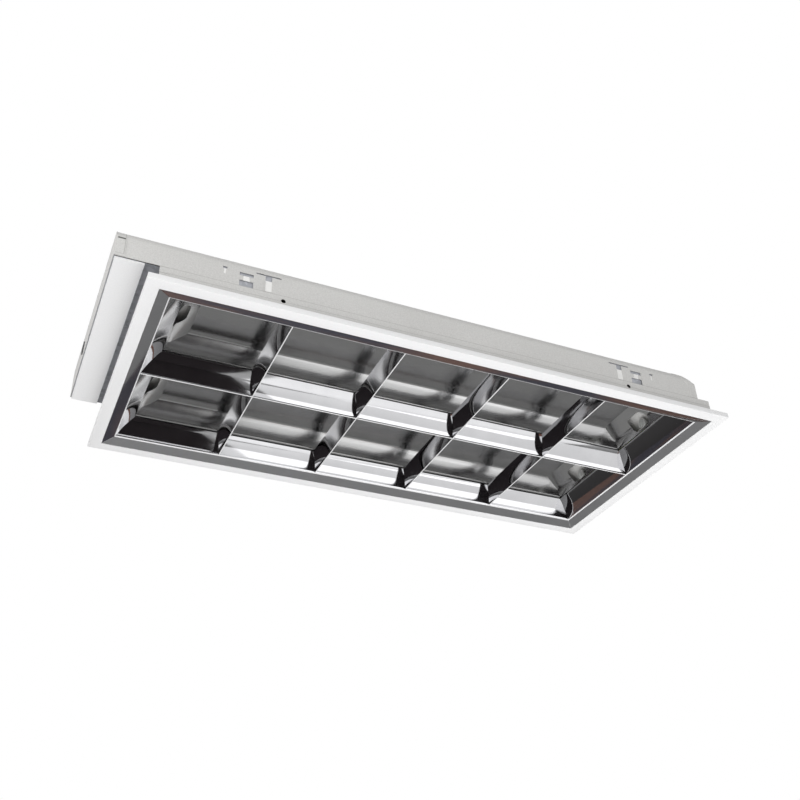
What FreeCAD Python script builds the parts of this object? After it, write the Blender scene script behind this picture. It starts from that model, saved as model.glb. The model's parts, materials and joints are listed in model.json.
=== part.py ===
import FreeCAD, Part
import math
import os
import Sketcher

# Recessed troffer light for a 1200 x 600 mm ceiling grid, two lamp rows, hinged mirror louver.
# Millimetres. Origin: centre of the trim's lower face. +Z up, X along the lamps,
# -Y the side of the catches, -X the end of the wiring box.

NEAR, FAR = -1, 1
LEFT, RIGHT = -1, 1
SIDES = (("near", NEAR), ("far", FAR))
ENDS = (("left", LEFT), ("right", RIGHT))

doc = FreeCAD.newDocument("recessed_troffer_light")
sheet = doc.addObject("Spreadsheet::Sheet", "sizes")


class Size:
    """A length that carries both its value and its expression on the sheet."""

    def __init__(self, text, value):
        self.text = text
        self.value = float(value)

    def _join(self, sign, other, value):
        return Size("(%s %s %s)" % (self.text, sign, size_of(other).text), value)

    def __add__(self, other):
        return self._join("+", other, self.value + size_of(other).value)

    def __sub__(self, other):
        return self._join("-", other, self.value - size_of(other).value)

    def __mul__(self, other):
        return self._join("*", other, self.value * size_of(other).value)

    def __truediv__(self, other):
        return self._join("/", other, self.value / size_of(other).value)

    def __neg__(self):
        return Size("(0 - %s)" % self.text, -self.value)

    __radd__ = __add__
    __rmul__ = __mul__

    def __rsub__(self, other):
        return size_of(other) - self


def size_of(value):
    return value if isinstance(value, Size) else Size("%.9g" % value, value)


row_number = 0


def size(alias, value, note):
    """One driving dimension: a row of the sheet with its alias."""
    global row_number
    row_number += 1
    sheet.set("A%d" % row_number, alias)
    sheet.set("B%d" % row_number, str(value))
    sheet.set("C%d" % row_number, note)
    sheet.setAlias("B%d" % row_number, alias)
    return Size("sizes." + alias, value)


# Trim frame
trim_length = size("trim_length", 1195, "outside length of the trim")
trim_width = size("trim_width", 595, "outside width of the trim")
trim_border = size("trim_border", 24, "visible white border")
trim_upstand = size("trim_upstand", 11, "height of the trim's outer upstand")
trim_sheet = size("trim_sheet", 1.0, "steel of the trim")
# Base frame
base_inset = size("base_inset", 10, "base wall behind the trim's long edge")
base_end_inset = size("base_end_inset", 35.5, "base wall behind the trim's short edge")
base_height = size("base_height", 38, "top of the base frame, the height of a ceiling tee")
base_joggle = size("base_joggle", 25, "top of the doubled skirt on the base frame")
base_foot = size("base_foot", 14, "where the end walls start to splay")
base_splay = size("base_splay", 14, "how far the end walls splay out to the trim")
base_sheet = size("base_sheet", 0.8, "steel of the base frame")
fixing_hole_radius = size("fixing_hole_radius", 4.6, "fixing holes in the base frame")
fixing_hole_offset = size("fixing_hole_offset", 362, "fixing holes from the middle")
fixing_hole_level = size("fixing_hole_level", 26.5, "height of the fixing holes")
# Housing
housing_height = size("housing_height", 100, "top of the housing")
housing_sheet = size("housing_sheet", 0.8, "steel of the housing")
housing_right_inset = size("housing_right_inset", 62.5, "right end wall inside the trim's end")
housing_overhang = size("housing_overhang", 58.5, "wiring box past the trim's left end")
wall_skirt = size("wall_skirt", 22, "side wall hidden behind the base frame")
wall_lean = size("wall_lean", 0.8, "side wall leans in by this much")
roll_radius = size("roll_radius", 22, "width and height of the rolled top edge")
holder_headroom = size("holder_headroom", 1, "right end wall above the foot of a lampholder")
slope_flange = size("slope_flange", 9, "flange of the right end cap along the sloping end")
plate_lift = size("plate_lift", 2, "hanger plates above the base frame")
tongue_half = size("tongue_half", 4.6, "half width of the tongue in a clip window")
# Cut-outs of the side walls, in two mirrored groups
cutout_shift = size("cutout_shift", -22, "middle between the two groups")
tee_offset = size("tee_offset", 368, "leg of the tee slot from the middle")
tee_slit_length = size("tee_slit_length", 46, "head of the tee slot")
tee_slit_height = size("tee_slit_height", 3, "height of the tee slot's head")
tee_leg_width = size("tee_leg_width", 12, "leg of the tee slot")
tee_drop = size("tee_drop", 1, "top of the tee slot below the start of the roll")
clip_offset = size("clip_offset", 408, "clip window from the middle")
clip_width = size("clip_width", 25, "clip window")
clip_neck = size("clip_neck", 12, "narrow middle of the clip window")
clip_bar = size("clip_bar", 7, "upper bar of the clip window")
clip_sill = size("clip_sill", 14, "lower bar of the clip window")
clip_drop = size("clip_drop", 9, "top of the clip window below the start of the roll")
key_offset = size("key_offset", 447, "key slot from the middle")
key_width = size("key_width", 4, "key slot")
key_head = size("key_head", 8, "wide head of the key slot")
key_drop = size("key_drop", 5, "top of the key slot below the start of the roll")
key_height = size("key_height", 16, "height of the key slot")
# Wiring box at the left end
box_recess = size("box_recess", 108.7, "far side of the wiring box inside the housing's far wall")
box_start = size("box_start", 18.5, "box opening starts this far inside the trim's end")
cap_flange = size("cap_flange", 18, "side flanges of the end caps")
flange_rise = size("flange_rise", 4, "top of that flange above the start of the roll")
vent_pitch = size("vent_pitch", 48, "pitch of the vents on the left end cap")
vent_inset = size("vent_inset", 54.7, "first vent from the near wall")
vent_drop = size("vent_drop", 1.5, "vents below the top")
vent_width = size("vent_width", 8, "vent width")
vent_height = size("vent_height", 5, "vent height")
cover_width = size("cover_width", 50, "wiring cover along the housing")
cover_depth = size("cover_depth", 4, "turned up edge of the wiring cover")
cover_margin = size("cover_margin", 3, "cover edge to the walls of the box")
entry_inset = size("entry_inset", 138, "cable entry from the far side of the wiring box")
entry_level = size("entry_level", 66, "height of the cable entry")
entry_radius = size("entry_radius", 10, "hole of the cable entry")
grommet_bore = size("grommet_bore", 5.5, "bore radius of the grommet")
grommet_lip = size("grommet_lip", 3, "lip of the grommet round its hole")
# Louver
rim_breadth = size("rim_breadth", 22.5, "sloping rim round the louver's edges")
louver_edge = size("louver_edge", 8, "height of the louver's lower edges")
louver_top = size("louver_top", 50, "height of the louver's upper edges")
louver_sheet = size("louver_sheet", 0.8, "mirror aluminium of the louver")
rim_gap = size("rim_gap", 1.0, "gap between louver rim and trim")
rim_drop = size("rim_drop", 0.6, "height of the rim's outer edge")
side_lean = size("side_lean", 24, "side reflectors lean in")
end_lean = size("end_lean", 31, "end reflectors lean in")
blade_half = size("blade_half", 13, "half width of a cross blade at its top")
spine_half = size("spine_half", 28, "half width of the spine at its top")
edge_half = size("edge_half", 0.8, "half width of the lower edges")
fold_rise = size("fold_rise", 1.0, "thickness of the fold at the lower edge")
join_gap = size("join_gap", 0.3, "gap between louver pieces that meet")
# Fixed reflectors
reflector_low = size("reflector_low", 52.5, "lower edge of the lamp reflectors")
reflector_gap = size("reflector_gap", 8, "lamp reflectors below the top of the housing")
reflector_sheet = size("reflector_sheet", 0.8, "aluminium of the lamp reflectors")
reflector_flange = size("reflector_flange", 20, "inner flange of the lamp reflectors")
reflector_draw = size("reflector_draw", 19, "sides of the lamp reflectors draw in")
end_knee_level = size("end_knee_level", 70, "knee of the sloping reflector ends")
end_knee_draw = size("end_knee_draw", 9, "reflector ends, lower part draws in")
end_slope_draw = size("end_slope_draw", 34, "reflector ends, upper part draws in")
channel_half = size("channel_half", 24, "half width of the centre cover")
window_width = size("window_width", 56, "opening for the lampholder")
window_height = size("window_height", 25, "opening for the lampholder")
# Lampholders
lamp_level = size("lamp_level", 68, "height of the lamp axis")
holder_depth = size("holder_depth", 18, "lampholder from end wall to face")
holder_radius = size("holder_radius", 11, "round head of the lampholder")
holder_head = size("holder_head", 6, "thickness of the head")
holder_foot = size("holder_foot", 14, "width and height of the foot")
holder_drop = size("holder_drop", 2, "foot sits this much below the lamp axis")
rotor_radius = size("rotor_radius", 7.9, "rotor of the lampholder")
rotor_depth = size("rotor_depth", 4.4, "thickness of the rotor")
rotor_fit = size("rotor_fit", 0.08, "running fit of the rotor")
rotor_play = size("rotor_play", 0.3, "gap behind the rotor")
pin_slot = size("pin_slot", 2.8, "slot for the lamp pins")
# Control gear
ballast_length = size("ballast_length", 360, "ballast")
ballast_width = size("ballast_width", 30, "ballast")
ballast_height = size("ballast_height", 21, "ballast")
ballast_shift = size("ballast_shift", -10, "middle of the ballast along the housing")
tab_length = size("tab_length", 12, "fixing tabs of the ballast")
tab_sheet = size("tab_sheet", 1.2, "thickness of those tabs")
screw_radius = size("screw_radius", 3.5, "heads of the ballast screws")
screw_head = size("screw_head", 2.4, "heads of the ballast screws")
block_length = size("block_length", 42, "terminal block, across the housing")
block_width = size("block_width", 22, "terminal block")
block_height = size("block_height", 17, "terminal block")
block_inset = size("block_inset", 81.7, "middle of the terminal block from the near wall")
way_radius = size("way_radius", 2.2, "wire ways of the terminal block")
stud_radius = size("stud_radius", 2, "earth stud")
stud_length = size("stud_length", 14, "earth stud")
stud_inset = size("stud_inset", 121.7, "earth stud from the near wall")
nut_radius = size("nut_radius", 4, "nut of the earth stud")
nut_height = size("nut_height", 3.2, "nut of the earth stud")
nut_level = size("nut_level", 4, "nut above the floor")
wire_radius = size("wire_radius", 1.4, "leads inside the housing")
wire_bend = size("wire_bend", 12, "bend of the leads")
# Hinges and catches
hinge_inset = size("hinge_inset", 10.5, "hinge axis inside the rim's outer edge")
relief_half = size("relief_half", 15, "room in the base end walls for the louver's corner to swing")
hinge_offset = size("hinge_offset", 408, "hinges and catches from their middle")
pin_radius = size("pin_radius", 1.5, "hinge pin")
pin_fit = size("pin_fit", 0.06, "running fit of the hinge pin")
pin_length = size("pin_length", 12, "hinge pin")
ear_gap = size("ear_gap", 3, "half distance between the ears of a hinge bracket")
ear_sheet = size("ear_sheet", 1.5, "thickness of the ears")
ear_half = size("ear_half", 3.5, "half width of the ears and lugs")
arm_level = size("arm_level", 24, "underside of the hinge bracket's arm")
arm_height = size("arm_height", 8, "plate of the hinge bracket on the base wall")
lug_half = size("lug_half", 1, "half thickness of a hinge lug")
catch_level = size("catch_level", 30, "height of the catch pivot")
catch_width = size("catch_width", 14, "spring catch")
catch_sheet = size("catch_sheet", 0.8, "steel of the spring catch")
catch_reach = size("catch_reach", 24, "spring catch below its pivot")
catch_eye = size("catch_eye", 2.6, "outside radius of the catch's eye")
catch_play = size("catch_play", 0.4, "catch to the ears of its bracket")
nose_depth = size("nose_depth", 4, "nose of the spring catch")
keeper_height = size("keeper_height", 12, "keeper lug on the louver rim")
keeper_inset = size("keeper_inset", 0.4, "keeper inside the rim's outer edge")
supply_level = size("supply_level", 57, "supply lead where it passes under the lamp")

half_length = trim_length / 2
half_width = trim_width / 2
housing_right = half_length - housing_right_inset
housing_left = -(half_length + housing_overhang)
box_right = -(half_length - box_start)
roll_level = housing_height - roll_radius
tee_top = roll_level - tee_drop
clip_top = roll_level - clip_drop
key_top = roll_level - key_drop
cap_flange_top = roll_level + flange_rise
plate_low = base_height + plate_lift
tongue_low = base_height + clip_sill
tongue_high = clip_top - clip_bar
reflector_top = housing_height - reflector_gap
chamfer_drop = housing_height - lamp_level + holder_drop - holder_foot / 2 - holder_headroom
SLOPE_RUN = 20 / 13  # length of the sloping right end for each millimetre that it drops
chamfer_length = chamfer_drop * SLOPE_RUN
wall_foot = half_width - base_inset - base_sheet
wall_knee = wall_foot - wall_lean
rim_side = half_width - trim_border - rim_gap
rim_end = half_length - trim_border - rim_gap
louver_half_length = rim_end - rim_breadth
louver_half_width = rim_side - rim_breadth
row_centre = louver_half_width / 2
trough_half = row_centre - spine_half
box_far_edge = wall_foot - box_recess
entry_place = box_far_edge - entry_inset
block_place = block_inset - wall_foot
stud_place = stud_inset - wall_foot
rim_slope = (louver_edge - rim_drop) / (rim_breadth - louver_sheet)
hinge_place = rim_side - hinge_inset
hinge_level = rim_drop + louver_sheet + hinge_inset * rim_slope + (ear_half + join_gap) * 1.06
keeper_face = rim_side - keeper_inset
catch_place = keeper_face + join_gap + nose_depth + catch_sheet / 2
CELLS = 5
cell_pitch = louver_half_length * 2 / CELLS
ROLL_BULGE = 0.41
MIRROR_BULGE = 0.13
REFLECTOR_BULGE = 0.16
HALF_ROUND = 1.0
VENTS = 9
WAYS = 4
PAST = 2.0  # cutting tools run past the sheet by this much

nodes = []


def bind(item, prop, value):
    item.setExpression(prop, size_of(value).text)


def place(item, where):
    for axis, value in zip("xyz", where):
        bind(item, "Placement.Base." + axis, value)


def node(name, item):
    """Marks an object as a sub-part: its label names its file."""
    item.Label = name
    nodes.append(item)
    return item


def box(name, low, high):
    item = doc.addObject("Part::Box", name)
    for prop, axis in (("Length", 0), ("Width", 1), ("Height", 2)):
        bind(item, prop, size_of(high[axis]) - low[axis])
    place(item, low)
    return item


TURNS = {
    "X": FreeCAD.Rotation(FreeCAD.Vector(0, 1, 0), 90),
    "Y": FreeCAD.Rotation(FreeCAD.Vector(1, 0, 0), -90),
    "Z": FreeCAD.Rotation(),
}


def rod(name, axis, radius, length, start):
    """A cylinder that runs from its start along +axis."""
    item = doc.addObject("Part::Cylinder", name)
    bind(item, "Radius", radius)
    bind(item, "Height", length)
    item.Placement = FreeCAD.Placement(FreeCAD.Vector(), TURNS[axis])
    place(item, start)
    return item


def fuse(name, items):
    item = doc.addObject("Part::MultiFuse", name)
    item.Shapes = items
    return item


def group(name, items):
    """Separate solids that share one node."""
    item = doc.addObject("Part::Compound", name)
    item.Links = items
    return item


def cut(name, base, tools):
    item = doc.addObject("Part::Cut", name)
    item.Base = base
    item.Tool = tools[0] if len(tools) == 1 else fuse(name + "_tools", tools)
    return item


def common(name, items):
    item = doc.addObject("Part::MultiCommon", name)
    item.Shapes = items
    return item


PLANES = {"XY": "XY_Plane", "XZ": "XZ_Plane", "YZ": "YZ_Plane"}


def draw_edge(sketch, start, end, bulge):
    """Adds a line, or an arc with the tangent of a quarter of its turn as bulge.

    Arcs are counted anticlockwise, so a negative bulge starts at the arc's second point.
    """
    first = FreeCAD.Vector(start[0].value, start[1].value, 0)
    last = FreeCAD.Vector(end[0].value, end[1].value, 0)
    if not bulge:
        return sketch.addGeometry(Part.LineSegment(first, last), False), 1, 2
    chord = last - first
    side = FreeCAD.Vector(chord.y, -chord.x, 0)
    middle = (first + last) * 0.5 + side * (bulge / 2)
    edge = sketch.addGeometry(Part.Arc(first, middle, last), False)
    return (edge, 1, 2) if bulge > 0 else (edge, 2, 1)


def hold_point(sketch, kind, edge, point, value):
    """Fixes one coordinate of a point of an edge, counted from the sketch's origin."""
    number = sketch.addConstraint(Sketcher.Constraint(kind, edge, point, value.value))
    bind(sketch, "Constraints[%d]" % number, value)


def draw_outline(sketch, points):
    """A closed outline: (across, up) or (across, up, bulge of the edge that follows)."""
    corners = [(size_of(p[0]), size_of(p[1]), p[2] if len(p) > 2 else 0) for p in points]
    edges = []
    for index, corner in enumerate(corners):
        following = corners[(index + 1) % len(corners)]
        edges.append(draw_edge(sketch, corner, following, corner[2]))
    for index, (edge, start, end) in enumerate(edges):
        after, after_start, _ = edges[(index + 1) % len(edges)]
        sketch.addConstraint(Sketcher.Constraint("Coincident", edge, end, after, after_start))
    for index, (edge, start, _) in enumerate(edges):
        (x, y, bulge), following = corners[index], corners[(index + 1) % len(corners)]
        hold_point(sketch, "DistanceX", edge, start, x)
        hold_point(sketch, "DistanceY", edge, start, y)
        if bulge:
            across, up = following[0] - x, following[1] - y
            reach = (1 - bulge * bulge) / (4 * bulge)
            if abs(across.value) > abs(up.value):
                hold_point(sketch, "DistanceY", edge, 3, (y + following[1]) / 2 + across * reach)
            else:
                hold_point(sketch, "DistanceX", edge, 3, (x + following[0]) / 2 - up * reach)


def prism(name, plane, points, start, stop):
    """A body padded from an outline, between two places on the plane's own axis."""
    body = doc.addObject("PartDesign::Body", name)
    origin_plane = [item for item in body.Origin.OriginFeatures if item.Role == PLANES[plane]][0]
    sketch = body.newObject("Sketcher::SketchObject", name + "_outline")
    sketch.AttachmentSupport = [(origin_plane, "")]
    sketch.MapMode = "FlatFace"
    start, stop = size_of(start), size_of(stop)
    offset = -stop if plane == "XZ" else start
    bind(sketch, "AttachmentOffset.Base.z", offset)
    draw_outline(sketch, points)
    pad = body.newObject("PartDesign::Pad", name + "_pad")
    pad.Profile = sketch
    bind(pad, "Length", stop - start)
    body.Tip = pad
    return body


def mirrored(points, side):
    """An outline on the other side of the middle plane."""
    if side > 0:
        return points
    return [(-size_of(p[0]), p[1]) + ((-p[2],) if len(p) > 2 else ()) for p in points]


# --- Trim -----------------------------------------------------------------------------------


def make_trim_frame():
    """Flat white border with an upstand round its outer edge."""
    block = box("trim_block", (-half_length, -half_width, 0), (half_length, half_width, trim_upstand))
    inside = box("trim_inside",
                 (trim_sheet - half_length, trim_sheet - half_width, trim_sheet),
                 (half_length - trim_sheet, half_width - trim_sheet, trim_upstand + 1))
    opening = box("trim_opening",
                  (trim_border - half_length, trim_border - half_width, -1),
                  (half_length - trim_border, half_width - trim_border, trim_upstand))
    node("trim_frame", cut("trim_frame", block, [inside, opening]))


def fixing_holes(name):
    """Drills for the four fixing holes, through both sheets of the long sides."""
    drills = []
    for label, side in SIDES:
        for end_label, end in ENDS:
            drill = "%s_hole_%s_%s" % (name, label, end_label)
            start = (end * fixing_hole_offset, side * (half_width - base_inset) - PAST, fixing_hole_level)
            drills.append(rod(drill, "Y", fixing_hole_radius, PAST * 2, start))
    return drills


def make_base_frame():
    """Ring that stands on the trim and carries the housing at the height of a ceiling tee."""
    outer = half_width - base_inset
    end = half_length - base_end_inset
    pieces = []
    for label, side in SIDES:
        skirt = outer + base_sheet
        inner = outer - base_sheet
        profile = [(inner, trim_sheet), (skirt, trim_sheet), (skirt, base_joggle), (outer, base_joggle),
                   (outer, base_height), (inner, base_height)]
        pieces.append(prism("base_rail_" + label, "YZ", mirrored(profile, side), -end, end))
    for label, side in ENDS:
        splay = end + base_splay
        inner = end - base_sheet
        profile = [(splay, trim_sheet), (end, base_foot), (end, base_height)]
        if side == RIGHT:
            ledge = housing_right - housing_sheet
            profile += [(ledge, base_height), (ledge, base_height - base_sheet),
                        (inner, base_height - base_sheet)]
        else:
            profile += [(inner, base_height)]
        profile += [(inner, base_foot), (splay - base_sheet * 2, trim_sheet)]
        pieces.append(prism("base_end_" + label, "XZ", mirrored(profile, side), -outer, outer))
    reliefs = []
    for label, side in ENDS:
        start = end - PAST if side == RIGHT else -(end + base_splay)
        reliefs.append(box("base_relief_" + label, (start, hinge_place - relief_half / 2, trim_sheet),
                           (start + base_splay + PAST, hinge_place + relief_half, hinge_level + relief_half)))
    ring = fuse("base_ring", pieces)
    node("base_frame", cut("base_frame", ring, fixing_holes("base") + reliefs))


# --- Housing --------------------------------------------------------------------------------


def housing_outline(inset, low):
    """Cross section of the housing, its walls moved in by the inset."""
    foot = wall_foot - inset
    knee = wall_knee - inset
    top = housing_height - inset
    roll = wall_knee - roll_radius
    return [(-foot, low), (foot, low), (foot, base_height), (knee, roll_level, ROLL_BULGE), (roll, top),
            (-roll, top, ROLL_BULGE), (-knee, roll_level), (-foot, base_height)]


def chamfer_corners():
    return (housing_right, housing_height - chamfer_drop), (housing_right - chamfer_length, housing_height)


def wall_cutouts(side_label, side):
    """Tee slots, clip windows and key slots of one side wall, as boxes through the sheet."""
    tools = []
    deep = wall_knee - housing_sheet - PAST
    wide = wall_foot + PAST

    def window(name, middle, width, low, high):
        ys = (side * wide, side * deep) if side == NEAR else (side * deep, side * wide)
        tools.append(box("%s_%s" % (name, side_label), (middle - width / 2, ys[0], low),
                         (middle + width / 2, ys[1], high)))

    for label, end in ENDS:
        tee = cutout_shift + end * tee_offset
        clip = cutout_shift + end * clip_offset
        key = cutout_shift + end * key_offset
        floor = base_height
        window("tee_slit_" + label, tee, tee_slit_length, tee_top - tee_slit_height, tee_top)
        window("tee_leg_" + label, tee, tee_leg_width, floor, tee_top - tee_slit_height)
        window("clip_head_" + label, clip, clip_width, clip_top - clip_bar, clip_top)
        window("clip_neck_" + label, clip, clip_neck, floor, clip_top)
        window("clip_sill_" + label, clip, clip_width, floor, floor + clip_sill)
        window("key_head_" + label, key, key_head, key_top - key_width, key_top)
        window("key_slot_" + label, key, key_width, key_top - key_height, key_top)
    return tools


def make_housing_tray():
    """Top and side walls in one folded sheet, open below and at both ends."""
    low = base_height - wall_skirt
    start = housing_left + housing_sheet
    outside = prism("tray_outside", "YZ", housing_outline(0, low), start, housing_right - housing_sheet)
    inside = prism("tray_inside", "YZ", housing_outline(housing_sheet, low - 1), start - 1, housing_right + 1)
    (low_x, low_z), (high_x, high_z) = chamfer_corners()
    wedge = prism("tray_chamfer", "XZ",
                  [(low_x, low_z), (low_x + PAST, low_z), (low_x + PAST, high_z + PAST),
                   (high_x, high_z + PAST), (high_x, high_z)], -half_width, half_width)
    notch = box("tray_notch", (start - 1, -half_width, low - 1), (box_right, half_width, base_height))
    corner = box("tray_corner", (start - 1, box_far_edge, low - 1),
                 (box_right, half_width, housing_height + 1))
    base_end = half_length - base_end_inset
    slit = box("tray_slit", (-base_end, -half_width, low - 1),
               (base_sheet - base_end, half_width, base_height))
    tools = [inside, wedge, notch, corner, slit] + fixing_holes("tray")
    for label, side in SIDES:
        tools += wall_cutouts(label, side)
    node("housing_tray", cut("housing_tray", outside, tools))


def make_end_cap_right():
    """End wall on the base ledge, folded back along the sloping end, with flanges over both side walls."""
    (low_x, low_z), (high_x, high_z) = chamfer_corners()
    thick = housing_sheet
    foot = base_height - 1
    slope = common("cap_right_slope", [
        prism("cap_right_plate", "XZ",
              [(low_x, low_z), (high_x, high_z), (high_x - thick * 2, high_z),
               (low_x - thick, low_z - thick)], -half_width, half_width),
        prism("cap_right_room", "YZ", housing_outline(thick, foot), high_x - PAST, low_x + PAST),
    ])
    wall = common("cap_right_wall", [
        box("cap_right_slab", (low_x - thick, -half_width, base_height), (low_x, half_width, low_z)),
        prism("cap_right_outline", "YZ", housing_outline(-thick, foot), low_x - PAST, low_x + PAST),
    ])
    start = high_x - slope_flange * 2
    sleeve = cut("cap_right_sleeve",
                 prism("cap_right_outside", "YZ", housing_outline(-thick, foot), start, low_x),
                 [prism("cap_right_inside", "YZ", housing_outline(0, foot - 1), start - PAST, low_x + PAST)])
    seam = low_x - cap_flange
    band = prism("cap_right_band", "XZ",
                 [(seam, base_height), (low_x, base_height), (low_x, low_z), (high_x, high_z),
                  (high_x - slope_flange, high_z), (seam, low_z - slope_flange / 2)], -half_width, half_width)
    flanges = common("cap_right_flanges", [sleeve, band])
    node("end_cap_right", fuse("end_cap_right", [slope, wall, flanges]))


def make_end_cap_left():
    """End face of the wiring box with its vents, cable entry and a flange over the near wall."""
    thick = housing_sheet
    face = common("cap_left_face", [
        prism("cap_left_outline", "YZ", housing_outline(-thick, base_height - 1), housing_left,
              housing_left + cap_flange),
        box("cap_left_slab", (housing_left, -half_width, base_height),
            (housing_left + thick, box_far_edge, housing_height)),
    ])
    sleeve = cut("cap_left_sleeve",
                 prism("cap_flange_outside", "YZ", housing_outline(-thick, base_height - 1), housing_left,
                       housing_left + cap_flange),
                 [prism("cap_flange_inside", "YZ", housing_outline(0, base_height - 2), housing_left - 1,
                        housing_left + cap_flange + 1)])
    strip = common("cap_left_flange", [
        sleeve,
        box("cap_flange_limit", (housing_left, -half_width, base_height),
            (housing_left + cap_flange, 0, cap_flange_top)),
    ])
    cap = fuse("cap_left_folded", [face, strip])
    tools = []
    for number in range(VENTS):
        middle = vent_inset - wall_foot + vent_pitch * number
        high = housing_height - vent_drop
        tools.append(box("vent_%d" % number,
                         (housing_left - PAST, middle - vent_width / 2, high - vent_height),
                         (housing_left + PAST, middle + vent_width / 2, high)))
    tools.append(rod("cable_entry", "X", entry_radius, PAST * 2,
                     (housing_left - PAST, entry_place, entry_level)))
    node("end_cap_left", cut("end_cap_left", cap, tools))


def make_wiring_box():
    """Far wall, floor and cover of the wiring box."""
    thick = housing_sheet
    left = housing_left + thick
    base_end = -(half_length - base_end_inset)
    plan = [(left, box_far_edge - thick), (box_right + thick, box_far_edge - thick),
            (box_right + thick, half_width), (box_right, half_width), (box_right, box_far_edge),
            (left, box_far_edge)]
    bent = prism("box_wall_plan", "XY", plan, base_height + thick, housing_height)
    room = prism("box_wall_room", "YZ", housing_outline(thick, base_height - PAST), left - PAST,
                 box_right + PAST)
    node("box_side_wall", common("box_side_wall", [bent, room]))

    floor = fuse("floor_plate", [
        box("floor_main", (left, -wall_foot, base_height), (base_end, box_far_edge, base_height + thick)),
        box("floor_ledge", (box_right, 0, base_height), (base_end, wall_foot, base_height + thick)),
    ])
    floor_room = prism("floor_room", "YZ", housing_outline(thick, base_height - 1), left - 1, base_end + 1)
    node("wiring_floor", common("wiring_floor", [floor, floor_room]))

    near = cover_margin - wall_foot
    far = box_far_edge - thick
    right = left + cover_margin / 2 + cover_width
    start = left + cover_margin / 2
    low = base_height - cover_depth
    lid = box("cover_block", (start, near, low), (right, far, base_height))
    hollow = box("cover_hollow", (start + thick, near + thick, low + thick),
                 (right - thick, far - thick, base_height + 1))
    node("wiring_cover", cut("wiring_cover", lid, [hollow]))

    ring = cut("grommet_ring",
               fuse("grommet_body", [
                   rod("grommet_barrel", "X", entry_radius, thick * 3, (housing_left - thick, entry_place,
                                                                       entry_level)),
                   rod("grommet_outer_lip", "X", entry_radius + grommet_lip, thick * 2,
                       (housing_left - thick * 2, entry_place, entry_level)),
                   rod("grommet_inner_lip", "X", entry_radius + grommet_lip, thick * 2,
                       (housing_left + thick, entry_place, entry_level)),
               ]),
               [rod("grommet_hole", "X", grommet_bore, PAST * 4, (housing_left - PAST * 2, entry_place,
                                                                  entry_level))])
    node("cable_grommet", ring)


def wall_place(level):
    """Outer face of the side wall at a height."""
    return wall_foot - wall_lean * ((level - base_height) / (roll_level - base_height))


def wall_slab(name, side, span, levels, depths):
    """A slab along a side wall, between two depths behind the wall's outer face."""
    (low, high), (outer, inner) = levels, depths
    points = [(wall_place(low) - inner, low), (wall_place(low) - outer, low),
              (wall_place(high) - outer, high), (wall_place(high) - inner, high)]
    return prism(name, "YZ", mirrored(points, side), *span)


def make_hanger_plates():
    """Plates behind the tee and key slots, each with a tongue that shows in a clip window."""
    plates = []
    behind = (housing_sheet, housing_sheet * 2)
    for label, side in SIDES:
        for end_label, end in ENDS:
            name = "hanger_%s_%s" % (label, end_label)
            tee = cutout_shift + end * tee_offset
            clip = cutout_shift + end * clip_offset
            key = cutout_shift + end * key_offset
            bridge = (tee, key) if end == RIGHT else (key, tee)
            plates.append(fuse(name, [
                wall_slab(name + "_plate", side, (tee - tee_leg_width, tee + tee_leg_width),
                          (plate_low, tongue_high + plate_lift), behind),
                wall_slab(name + "_stop", side, (key - key_width, key + key_width),
                          (tongue_low, key_top - key_width), behind),
                wall_slab(name + "_bridge", side, bridge, (tongue_low, tongue_high), behind),
                wall_slab(name + "_tongue", side, (clip - tongue_half, clip + tongue_half),
                          (tongue_low, tongue_high), (size_of(0), housing_sheet)),
            ]))
    node("hanger_plates", group("hanger_plates", plates))


# --- Lamp reflectors ------------------------------------------------------------------------


def trough_space(extra):
    """Inside of a lamp reflector about its own row, enlarged by the extra."""
    foot = trough_half + extra
    shoulder = foot - reflector_draw
    top = reflector_top + extra
    return [(-foot, reflector_low), (foot, reflector_low, REFLECTOR_BULGE), (shoulder, top),
            (-shoulder, top, REFLECTOR_BULGE)]


def shifted(points, across):
    return [(size_of(p[0]) + across,) + tuple(p[1:]) for p in points]


def reflector_end_corners(side):
    """Inner line of a sloping reflector end: foot, knee and top."""
    foot = louver_half_length - end_lean
    knee = foot - end_knee_draw
    top = knee - end_slope_draw
    return [(side * foot, reflector_low), (side * knee, end_knee_level), (side * top, reflector_top)]


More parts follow.
